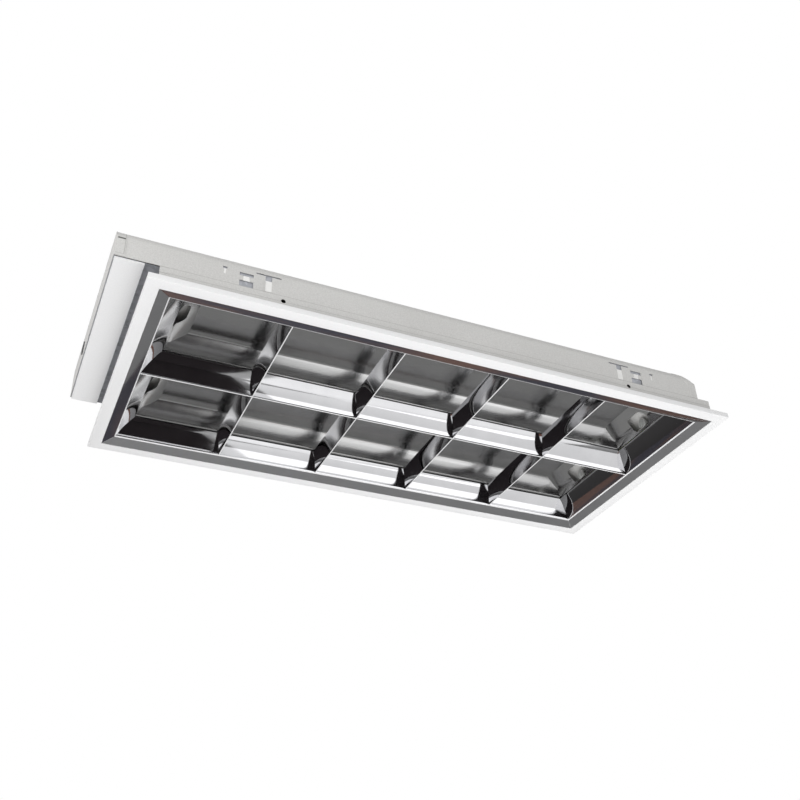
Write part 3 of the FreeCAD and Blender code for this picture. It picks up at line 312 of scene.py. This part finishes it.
# painted shade in the paint: darker lines at the two steps of the base frame and along the edges
# of the left end cap's flange, and a near-black band painted where the end cap's slot would be,
# with no opening cut
housingShadeBands = [([("Z", 24.6, 25.4)], (0.44, 0.435, 0.42)),
                ([("Z", 37.6, 38.4)], (0.44, 0.435, 0.42)),
                ([("X", -640.4, -639.6), ("Z", 44.0, 96.0)], (0.46, 0.455, 0.44)),
                ([("X", -654.0, -640.0), ("Z", 43.4, 44.0)], (0.50, 0.495, 0.48)),
                ([("X", -653.0, -640.5), ("Z", 76.0, 78.6)], (0.10, 0.10, 0.095))]
finishes = {
    "trim_white": paintedSteel("trimWhite", (0.86, 0.86, 0.865), (0.82, 0.82, 0.825),
                               320.0, 0.05, 0.34),
    "housing_paint": paintedSteel("housingPaint", (0.70, 0.695, 0.68), (0.58, 0.575, 0.56),
                                  420.0, 0.16, 0.48, housingShadeBands),
    "mirror_aluminium": mirrorSheet("mirrorAluminium", mirrorLook),
    "reflector_aluminium": mirrorSheet("reflectorAluminium", troughLook),
}

zinc = {"colour": (0.42, 0.43, 0.46), "metallic": 0.35, "roughness": 0.40, "crystals": 110.0,
        "dark": (0.36, 0.37, 0.40), "light": (0.50, 0.51, 0.55), "shine": (0.34, 0.52),
        "gap": ("Y", -288.0, -284.4), "gapShadeTone": (0.03, 0.03, 0.033), "gapShadeSoft": 0.4,
        "bump": 0.12, "depth": 0.0004}


def zincSpangle():
    # galvanised sheet: frosty crystals, each with its own tone, and painted shade: a near-black
    # band at the near edge, where the gap to the wall is
    finish, tree, shader = newFinish("galvanisedSteel", zinc["colour"], zinc["metallic"],
                                     zinc["roughness"])
    where = tree.nodes.new("ShaderNodeTexCoord")
    cells = tree.nodes.new("ShaderNodeTexVoronoi")
    cells.inputs["Scale"].default_value = zinc["crystals"]
    tree.links.new(where.outputs["Object"], cells.inputs["Vector"])
    split = tree.nodes.new("ShaderNodeSeparateColor")
    tree.links.new(cells.outputs["Color"], split.inputs["Color"])
    colour = ramp(tree, split.outputs["Red"], [(0.0, zinc["dark"]), (1.0, zinc["light"])])
    # painted shade: the band along the near edge is darkened towards near black
    gap = bandMask(tree, [zinc["gap"]], zinc["gapShadeSoft"])
    tree.links.new(blendColour(tree, gap, colour, zinc["gapShadeTone"]), shader.inputs["Base Color"])
    tree.links.new(remap(tree, split.outputs["Green"], *zinc["shine"]),
                   shader.inputs["Roughness"])
    addBump(tree, shader, cells.outputs["Distance"], zinc["bump"], zinc["depth"])
    return finish


moulded = {"smoother": 0.05, "rougher": 0.07, "depth": 0.0003}


def plainFinish(name, light, dark, metallic, roughness, scale, bump):
    # moulded, plated or coated small parts: two tones and a fine surface
    finish, tree, shader = newFinish(name, light, metallic, roughness)
    noise = objectNoise(tree, scale, detail=3.0, roughness=0.55)
    darkStop, lightStop = noiseSpan
    tree.links.new(ramp(tree, noise.outputs["Fac"], [(darkStop, dark), (lightStop, light)]),
                   shader.inputs["Base Color"])
    spread = remap(tree, noise.outputs["Fac"], roughness - moulded["smoother"],
                   roughness + moulded["rougher"])
    tree.links.new(spread, shader.inputs["Roughness"])
    addBump(tree, shader, noise.outputs["Fac"], bump, moulded["depth"])
    return finish


# light tone, dark tone, metallic, roughness, grain scale, bump
smallFinishes = {
    "clip_steel": ("clipSteel", (0.93, 0.925, 0.91), (0.87, 0.865, 0.85), 0.0, 0.38, 160.0, 0.10),
    # painted shade: the white plastic is given a mid grey, standing in for the shade inside the
    # housing
    "white_plastic": ("whitePlastic", (0.60, 0.605, 0.59), (0.54, 0.545, 0.53),
                      0.0, 0.32, 120.0, 0.05),
    "rotor_plastic": ("rotorPlastic", (0.50, 0.51, 0.50), (0.44, 0.45, 0.44),
                      0.0, 0.35, 120.0, 0.05),
    "gear_paint": ("gearPaint", (0.30, 0.31, 0.33), (0.24, 0.25, 0.27), 0.1, 0.42, 220.0, 0.20),
    "bright_steel": ("brightSteel", (0.62, 0.62, 0.63), (0.48, 0.48, 0.50),
                     1.0, 0.28, 90.0, 0.08),
    "brass": ("brass", (0.72, 0.55, 0.26), (0.58, 0.43, 0.19), 1.0, 0.30, 110.0, 0.08),
    "grey_plastic": ("greyPlastic", (0.46, 0.47, 0.48), (0.40, 0.41, 0.42),
                     0.0, 0.40, 140.0, 0.06),
    "grey_rubber": ("greyRubber", (0.09, 0.09, 0.095), (0.06, 0.06, 0.065),
                    0.0, 0.62, 200.0, 0.14),
    "lead_insulation": ("leadInsulation", (0.78, 0.78, 0.76), (0.68, 0.68, 0.66),
                        0.0, 0.38, 150.0, 0.05),
}
finishes["galvanised_steel"] = zincSpangle()
for slotName, values in smallFinishes.items():
    finishes[slotName] = plainFinish(*values)


stripe = {"green": (0.10, 0.36, 0.08), "yellow": (0.82, 0.74, 0.10), "roughness": 0.36,
          "scale": 55.0, "distortion": 0.6, "stops": (0.45, 0.55), "bump": 0.05, "depth": 0.0002}


def earthStripes():
    # green insulation with slanting yellow stripes
    finish, tree, shader = newFinish("earthInsulation", stripe["green"], 0.0, stripe["roughness"])
    where = tree.nodes.new("ShaderNodeTexCoord")
    wave = tree.nodes.new("ShaderNodeTexWave")
    wave.wave_type = "BANDS"
    wave.bands_direction = "DIAGONAL"
    wave.inputs["Scale"].default_value = stripe["scale"]
    wave.inputs["Distortion"].default_value = stripe["distortion"]
    tree.links.new(where.outputs["Object"], wave.inputs["Vector"])
    greenStop, yellowStop = stripe["stops"]
    colour = ramp(tree, wave.outputs["Fac"],
                  [(greenStop, stripe["green"]), (yellowStop, stripe["yellow"])])
    tree.links.new(colour, shader.inputs["Base Color"])
    addBump(tree, shader, wave.outputs["Fac"], stripe["bump"], stripe["depth"])
    return finish


finishes["earth_insulation"] = earthStripes()
print("materials made,", len(finishes))


# louver

louver = {"rimSide": 272.5, "rimEnd": 572.5, "rimLow": 0.6, "edgeSide": 246.0, "edgeEnd": 550.0,
          "edge": 8.0, "top": 50.0, "sideLean": 20.0, "endLean": 31.0, "bow": 0.10,
          "sheet": 0.8, "gap": 0.3, "spineHalf": 28.0, "bladeHalf": 13.0, "foldHalf": 1.1,
          "bladeSheet": 0.5, "lip": 5.0, "bladeLip": 10.5, "bendRadius": 1.2, "arcSteps": 14,
          "blades": (-330.0, -110.0, 110.0, 330.0)}


def mitrePlace(across, rows):
    # how far along a strip reaches at a distance across, from a few known corners
    for (a1, reach1), (a2, reach2) in zip(rows, rows[1:]):
        if across >= a2 or (a2, reach2) == rows[-1]:
            return reach1 + (reach2 - reach1) * (across - a1) / (a2 - a1)


def outerStrip(side, turned):
    # a folded strip of the louver's rim, along a long side or, turned, along a short one
    rim, edge, lean = (("rimEnd", "edgeEnd", "endLean") if turned
                       else ("rimSide", "edgeSide", "sideLean"))
    rows = [(louver["rimSide"], louver["rimEnd"]), (louver["edgeSide"], louver["edgeEnd"]),
            (louver["edgeSide"] - louver["sideLean"], louver["edgeEnd"] - louver["endLean"])]
    if turned:
        rows = [(end, across) for across, end in rows]
    bm = bmesh.new()
    drawSection(bm, [(louver[rim], louver["rimLow"]),
                     (louver[edge], louver["edge"], louver["bow"]),
                     (louver[edge] - louver[lean], louver["top"])], louver["arcSteps"])
    roundCorners(bm, louver["bendRadius"], segments=3)
    pullAlong(bm)
    for vert in bm.verts:
        reach = mitrePlace(vert.co.y / mm, rows) - (0 if turned else louver["gap"])
        vert.co.x = math.copysign(reach * mm, vert.co.x)
    faceTowards(bm, inCell)
    thicken(bm, louver["sheet"])
    if turned:
        turnAbout(bm, -side * math.pi / 2)
    elif side < 0:
        turnAbout(bm, math.pi)
    return bm


for label, side in (("near", -1), ("far", 1)):
    finishPiece("sideMirror." + label, outerStrip(side, False), "mirror_aluminium", "louver",
                ["side_reflector_" + label])
for label, side in (("left", -1), ("right", 1)):
    finishPiece("endMirror." + label, outerStrip(side, True), "mirror_aluminium", "louver",
                ["end_reflector_" + label])


def curvedFace(low, high, bow, height):
    # distance across of a bowed face at a height, from its places at the louver's edge and top
    edge, top = louver["edge"], louver["top"]
    reach = (1 - bow ** 2) / (4 * bow)
    across = (low + high) / 2 - (top - edge) * reach
    level = (edge + top) / 2 + (high - low) * reach
    radius = math.hypot(low - across, edge - level)
    return across + math.copysign(math.sqrt(max(radius ** 2 - (height - level) ** 2, 0)), bow)


def stripFace(edge, lean, height):
    return curvedFace(louver[edge], louver[edge] - louver[lean], louver["bow"], height)


def spineFace(height):
    return curvedFace(louver["foldHalf"], louver["spineHalf"], -louver["bow"], height)


def foldedVee(half, lip):
    # one sheet folded to a narrow lower edge, its two hollow faces turned in to lips at the top
    low, top, fold, inner = louver["edge"], louver["top"], louver["foldHalf"], half - lip
    bm = bmesh.new()
    drawSection(bm, [(-inner, top), (-half, top, -louver["bow"]), (-fold, low + fold, 1.0),
                     (fold, low + fold, -louver["bow"]), (half, top), (inner, top)],
                louver["arcSteps"])
    pullAlong(bm)
    return bm


bm = foldedVee(louver["spineHalf"], louver["lip"])
for vert in bm.verts:
    height = max(vert.co.z / mm, louver["edge"])
    reach = stripFace("edgeEnd", "endLean", height) - louver["gap"]
    vert.co.x = math.copysign(reach * mm, vert.co.x)
faceTowards(bm, below)
thicken(bm, louver["bladeSheet"])
finishPiece("louverSpine", bm, "mirror_aluminium", "louver", ["louver_spine"])

for label, side in (("near", -1), ("far", 1)):
    for number, middle in enumerate(louver["blades"], 1):
        bm = foldedVee(louver["bladeHalf"], louver["bladeLip"])
        for vert in bm.verts:
            height = max(vert.co.z / mm, louver["edge"])
            if vert.co.x < 0:
                reach = spineFace(height) + louver["gap"]
            else:
                reach = stripFace("edgeSide", "sideLean", height) - louver["gap"]
            vert.co.x = reach * mm
        faceTowards(bm, below)
        thicken(bm, louver["bladeSheet"])
        turnAbout(bm, side * math.pi / 2)
        shiftBy(bm, middle, 0)
        finishPiece("crossBlade.%s.%d" % (label, number), bm, "mirror_aluminium", "louver",
                    ["cross_blade_%s_%d" % (label, number)])
print("louver made")


# lamp reflectors

trough = {"row": 125.0, "half": 97.0, "draw": 19.0, "low": 52.5, "top": 92.0, "bow": 0.16,
          "sheet": 0.8, "wall": 284.4, "inner": 8.0, "foot": 519.0, "knee": (510.0, 70.0),
          "peak": (476.0, 92.0), "kneeRadius": 6.0, "arcSteps": 16, "bendRows": (66.5, 70.0, 73.5)}
window = {"width": 56.0, "height": 25.0, "level": 68.0}


def troughReach(height):
    # how far along a trough reaches at a height, on the sloping line of its end plate
    rows = [(trough["low"], trough["foot"]), trough["knee"][::-1], trough["peak"][::-1]]
    for (z1, x1), (z2, x2) in zip(rows, rows[1:]):
        if height <= z2:
            return x1 + (x2 - x1) * (height - z1) / (z2 - z1)
    return rows[-1][1]


def troughLine(bm, flanges):
    # the trough's section, counted from the lamp row, with the flat flanges beside it if asked
    foot, top, half = trough["low"], trough["top"], trough["half"]
    shoulder = half - trough["draw"]
    line = [(-half, foot, -trough["bow"]), (-shoulder, top),
            (shoulder, top, -trough["bow"]), (half, foot)]
    if flanges:
        line = ([(trough["inner"] - trough["row"], foot)] + line
                + [(trough["wall"] - trough["row"], foot)])
    drawSection(bm, line, trough["arcSteps"])


for label, side in (("near", -1), ("far", 1)):
    bm = bmesh.new()
    troughLine(bm, True)
    roundCorners(bm, trough["kneeRadius"], segments=5, sharpest=20)
    pullAlong(bm)
    for vert in bm.verts:
        vert.co.x = math.copysign(troughReach(vert.co.z / mm) * mm, vert.co.x)
    faceTowards(bm, inCell)
    thicken(bm, trough["sheet"])
    if side < 0:
        turnAbout(bm, math.pi)
    shiftBy(bm, 0, side * trough["row"])
    finishPiece("lampReflector." + label, bm, "reflector_aluminium", "housing",
                ["reflector_" + label])


def ovalLine(bm):
    # outline of the opening through which a lampholder shows
    reach = (window["width"] - window["height"]) / 2
    low, high = (window["level"] + part * window["height"] / 2 for part in (-1, 1))
    drawSection(bm, [(-reach, low), (reach, low, 1.0), (reach, high), (-reach, high, 1.0),
                     (-reach, low)])


for label, side in (("near", -1), ("far", 1)):
    for endLabel, end in (("left", -1), ("right", 1)):
        bm = bmesh.new()
        troughLine(bm, False)
        bm.edges.new([vert for vert in bm.verts if len(vert.link_edges) == 1])
        ovalLine(bm)
        weldPoints(bm)
        bmesh.ops.triangle_fill(bm, use_beauty=True, use_dissolve=False, edges=bm.edges[:],
                                normal=(1, 0, 0))
        for level in trough["bendRows"]:
            bmesh.ops.bisect_plane(bm, geom=bm.verts[:] + bm.edges[:] + bm.faces[:], dist=1e-6,
                                   plane_co=(0, 0, level * mm), plane_no=(0, 0, 1),
                                   clear_inner=False, clear_outer=False)
        for vert in bm.verts:
            vert.co.x = troughReach(vert.co.z / mm) * mm
        faceTowards(bm, inCell)
        thicken(bm, trough["sheet"])
        if end < 0:
            turnAbout(bm, math.pi)
        shiftBy(bm, 0, side * trough["row"])
        finishPiece("reflectorEnd.%s.%s" % (label, endLabel), bm, "reflector_aluminium",
                    "housing", ["reflector_end_%s_%s" % (label, endLabel)])
print("lamp reflectors made")


# white trim

trim = {"halfLength": 597.5, "halfWidth": 297.5, "border": 24.0, "upstand": 11.0, "sheet": 1.0,
        "edgeRadius": 1.1}


def trimStrip(turned):
    # one side of the frame with its upstand, mitred at both ends
    out, other = trim["halfWidth"], trim["halfLength"]
    if turned:
        out, other = other, out
    bm = bmesh.new()
    drawSection(bm, [(out, trim["upstand"]), (out, 0.0), (out - trim["border"], 0.0)])
    roundCorners(bm, trim["edgeRadius"], segments=4)
    pullAlong(bm)
    for vert in bm.verts:
        vert.co.x = math.copysign(other * mm - (out * mm - vert.co.y), vert.co.x)
    return bm


bm = bmesh.new()
for turned in (False, True):
    for half in (0, 1):
        strip = trimStrip(turned)
        turnAbout(strip, math.pi * half + (math.pi / 2 if turned else 0))
        mesh = bpy.data.meshes.new("trimStrip")
        strip.to_mesh(mesh)
        strip.free()
        bm.from_mesh(mesh)
        bpy.data.meshes.remove(mesh)
weldPoints(bm)
faceTowards(bm, below)
thicken(bm, trim["sheet"])
finishPiece("trimFrame", bm, "trim_white", "housing", ["trim_frame"], sharpAngle=20)
print("trim made")


# pieces kept from the CAD

keptSharpAngle = 25
weldReach = 0.001
roundedNodes = ["housing_tray", "end_cap_left", "cable_grommet", "lampholder_near_left",
                "lampholder_near_right", "lampholder_far_left", "lampholder_far_right",
                "rotor_near_left", "rotor_near_right", "rotor_far_left", "rotor_far_right",
                "ballast_screws", "earth_stud", "lamp_lead_near_left", "lamp_lead_near_right",
                "lamp_lead_far_left", "lamp_lead_far_right", "supply_lead", "earth_lead",
                "terminal_block", "hinge_lugs", "hinge_pins", "hinge_brackets", "catch_left",
                "catch_right", "catch_pins", "catch_brackets"]
slotOf = {part["node"]: part["material_slot"] for part in frame["record"]["subparts"]}
bodyOf = {name: body for body, names in frame["record"]["behaviour"]["bodies"].items()
          for name in names}

for name, node in nodes.items():
    node.data.materials.clear()
    node.data.materials.append(finishes[slotOf[name]])


def weldedCopy(name):
    # a copy of a CAD mesh with its points merged
    bm = bmesh.new()
    bm.from_mesh(nodes[name].data)
    weldPoints(bm, weldReach)
    return bm


for name in roundedNodes:
    finishPiece("smooth." + name, weldedCopy(name), slotOf[name], bodyOf[name], [name],
                keptSharpAngle)

# the hanger plates, with a galvanised sheet behind each pair of slots, whose grey is painted
# shade: it stands in for the shade seen through the slots
hanger = {"shift": -22.0, "tee": 368.0, "key": 447.0, "past": 12.0, "level": (39.5, 79.5),
          "face": 283.6, "sheet": 0.5}
inner, outer = hanger["tee"] - hanger["past"] * 2, hanger["key"] + hanger["past"]
low, high = hanger["level"]
bm = weldedCopy("hanger_plates")
frontFaces = set(bm.faces)
for side in (-1, 1):
    for end in (-1, 1):
        made = bmesh.ops.create_cube(bm, size=1.0)["verts"]
        bmesh.ops.scale(bm, verts=made,
                        vec=((outer - inner) * mm, hanger["sheet"] * mm, (high - low) * mm))
        middle = Vector((hanger["shift"] + end * (inner + outer) / 2, side * hanger["face"],
                         (low + high) / 2))
        bmesh.ops.translate(bm, verts=made, vec=middle * mm)
for face in bm.faces:
    face.material_index = 0 if face in frontFaces else 1
plates = finishPiece("hangerPlates", bm, "clip_steel", "housing", ["hanger_plates"],
                     keptSharpAngle)
plates.data.materials.append(finishes["galvanised_steel"])
print("kept pieces finished")


# studio, in metres

studio = {"floorLevel": -1.62, "floorHalf": 5.0, "floorColour": (0.80, 0.80, 0.795),
          "ambient": 0.24, "wallFar": 3.6, "wallTop": 1.6, "wallColour": (0.17, 0.165, 0.195),
          "wallPatches": (0.36, 0.235, 0.20), "patchScale": 1.1, "patchStops": (0.42, 0.60),
          "sideColour": (0.16, 0.155, 0.155), "cardColour": (0.42, 0.22, 0.17),
          "flagColour": (0.035, 0.03, 0.032), "plateRoughness": 0.9}


def stagePlate(name, start, along, rise, colour, seen=False, patches=None):
    # a flat plate of the studio; one that is not seen only shows in the mirrors
    bm = bmesh.new()
    bmesh.ops.create_grid(bm, x_segments=1, y_segments=1, size=1)
    for vert in bm.verts:
        across, up = (vert.co.x + 1) / 2, (vert.co.y + 1) / 2
        vert.co = Vector(start) + Vector(along) * across + Vector(rise) * up
    mesh = bpy.data.meshes.new(name)
    bm.to_mesh(mesh)
    bm.free()
    plate = bpy.data.objects.new(name, mesh)
    bpy.context.scene.collection.objects.link(plate)
    finish, tree, shader = newFinish(name + "Paint", colour, 0.0, studio["plateRoughness"])
    shader.inputs["Specular IOR Level"].default_value = 0.0
    if patches:
        cloud = objectNoise(tree, studio["patchScale"])
        first, last = studio["patchStops"]
        tree.links.new(ramp(tree, cloud.outputs["Fac"], [(first, colour), (last, patches)]),
                       shader.inputs["Base Color"])
    mesh.materials.append(finish)
    plate.visible_camera = seen
    plate.visible_diffuse = seen
    plate.visible_shadow = seen


half, level = studio["floorHalf"], studio["floorLevel"]
stagePlate("floor", (-half, -half, level), (half * 2, 0, 0), (0, half * 2, 0),
           studio["floorColour"], True)
stagePlate("cameraFlag", (-1.35, -2.2, level), (1.5, 0, 0), (0, 0, 1.5), studio["flagColour"])
stagePlate("floorFlag", (-2.0, -2.2, level + 0.01), (2.1, 0, 0), (0, 1.9, 0),
           studio["flagColour"])
stagePlate("warmCard", (0.1, -1.16, level + 0.08), (0.9, 0, 0), (0, 0.16, 0),
           studio["cardColour"])
stagePlate("farWall", (-half, studio["wallFar"], level), (half * 2, 0, 0),
           (0, 0, studio["wallTop"] - level), studio["wallColour"], False,
           studio["wallPatches"])
stagePlate("leftFlag", (-4.2, 1.0, level + 0.01), (3.4, 0, 0), (0, 2.6, 0),
           studio["sideColour"])

# white for the camera and the mirrors, a low even light on everything else
world = bpy.data.worlds.new("studioWorld")
bpy.context.scene.world = world
world.use_nodes = True
tree = world.node_tree
background = tree.nodes["Background"]
background.inputs["Color"].default_value = (1, 1, 1, 1)
rays = tree.nodes.new("ShaderNodeLightPath")
largest = tree.nodes.new("ShaderNodeMath")
largest.operation = "MAXIMUM"
shown = tree.nodes.new("ShaderNodeMath")
shown.operation = "MAXIMUM"
strength = tree.nodes.new("ShaderNodeMapRange")
strength.inputs["To Min"].default_value = studio["ambient"]
strength.inputs["To Max"].default_value = 1.0
tree.links.new(rays.outputs["Is Camera Ray"], largest.inputs[0])
tree.links.new(rays.outputs["Is Glossy Ray"], largest.inputs[1])
tree.links.new(largest.outputs["Value"], shown.inputs[0])
tree.links.new(rays.outputs["Is Transmission Ray"], shown.inputs[1])
tree.links.new(shown.outputs["Value"], strength.inputs["Value"])
tree.links.new(strength.outputs["Result"], background.inputs["Strength"])


def softLight(name, place, target, size, watts, shiny):
    # an area light; one that is not shiny does not show in the mirrors
    data = bpy.data.lights.new(name, "AREA")
    data.shape = "RECTANGLE"
    data.size, data.size_y = size
    data.energy = watts
    light = bpy.data.objects.new(name, data)
    light.location = place
    aim = Vector(target) - Vector(place)
    light.rotation_euler = aim.to_track_quat("-Z", "Y").to_euler()
    light.visible_camera = False
    light.visible_glossy = shiny
    bpy.context.scene.collection.objects.link(light)


# place, target, size, watts, whether the mirrors show it
lights = {
    "under": ((1.0, 0.4, -1.5), (1.0, 0.4, 0), (3.2, 3.2), 40.0, False),
    "side": ((-1.9, -2.6, -0.15), (-0.4, 0, 0.05), (2.0, 1.2), 42.0, False),
    "left": ((-2.7, -0.6, -1.0), (-0.6, 0, 0.05), (1.4, 1.0), 20.0, False),
    "above": ((0.4, 0.5, 2.2), (0, 0, 0), (2.0, 2.0), 4.0, False),
    "boxRight": ((1.25, -2.05, -0.85), (0.2, 0, -0.2), (2.1, 1.4), 6.8, True),
    "boxFloor": ((0.95, -1.68, -1.56), (0.95, -1.68, 0), (1.5, 1.0), 3.9, True),
    "boxLeft": ((-1.75, -2.35, -0.80), (-0.2, 0, -0.2), (1.2, 0.9), 4.6, True),
}
for name, values in lights.items():
    softLight(name, *values)

lens = {"focal": 45.15, "sensor": 36.0, "near": 0.01, "place": (-0.7596, -1.6195, -1.0743),
        "right": (0.91405, -0.40482, -0.02527), "up": (-0.20031, -0.50470, 0.83974),
        "back": (-0.35270, -0.76250, -0.54241)}
cameraData = bpy.data.cameras.new("camera")
cameraData.lens = lens["focal"]
cameraData.sensor_width = lens["sensor"]
cameraData.clip_start = lens["near"]
camera = bpy.data.objects.new("camera", cameraData)
turn = Matrix((lens["right"], lens["up"], lens["back"])).transposed().to_4x4()
camera.matrix_world = Matrix.Translation(lens["place"]) @ turn
bpy.context.scene.collection.objects.link(camera)
bpy.context.scene.camera = camera
bpy.context.scene.view_settings.view_transform = "Standard"
print("studio made")
